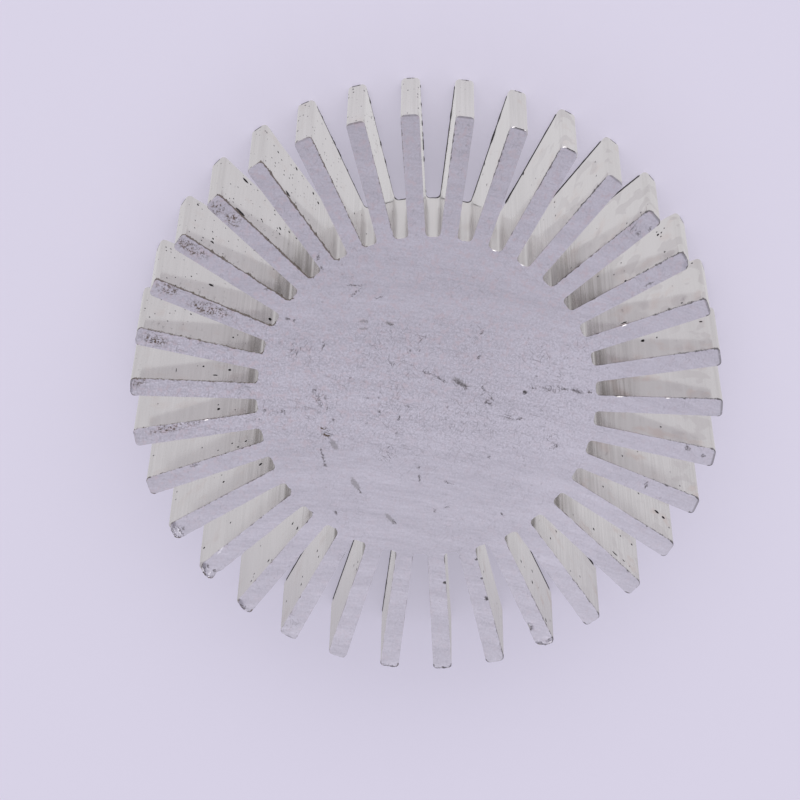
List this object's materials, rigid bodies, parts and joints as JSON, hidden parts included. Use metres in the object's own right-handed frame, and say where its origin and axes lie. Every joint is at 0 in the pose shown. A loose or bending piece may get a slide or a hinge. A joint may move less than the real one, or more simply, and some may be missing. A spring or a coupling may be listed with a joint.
{
  "type": "sunflower heat sink",
  "caption": "Short slice of extruded aluminium bar with a solid round core and a ring of straight radial fins that shed heat, both ends sawn flat.",
  "frame": {"origin": "centre of the base end, where the bar's axis meets the surface that the slice stands on", "axes": "+Z along the bar's axis, out of the sawn end that the picture shows; +X along one fin"},
  "size_m": [0.06, 0.0598, 0.0124],
  "materials": {
    "bare_aluminium": "bare extruded flanks with die lines, and satin sawn ends"
  },
  "bodies": {
    "root": {"heat_sink": "bare_aluminium"}
  },
  "joints": []
}
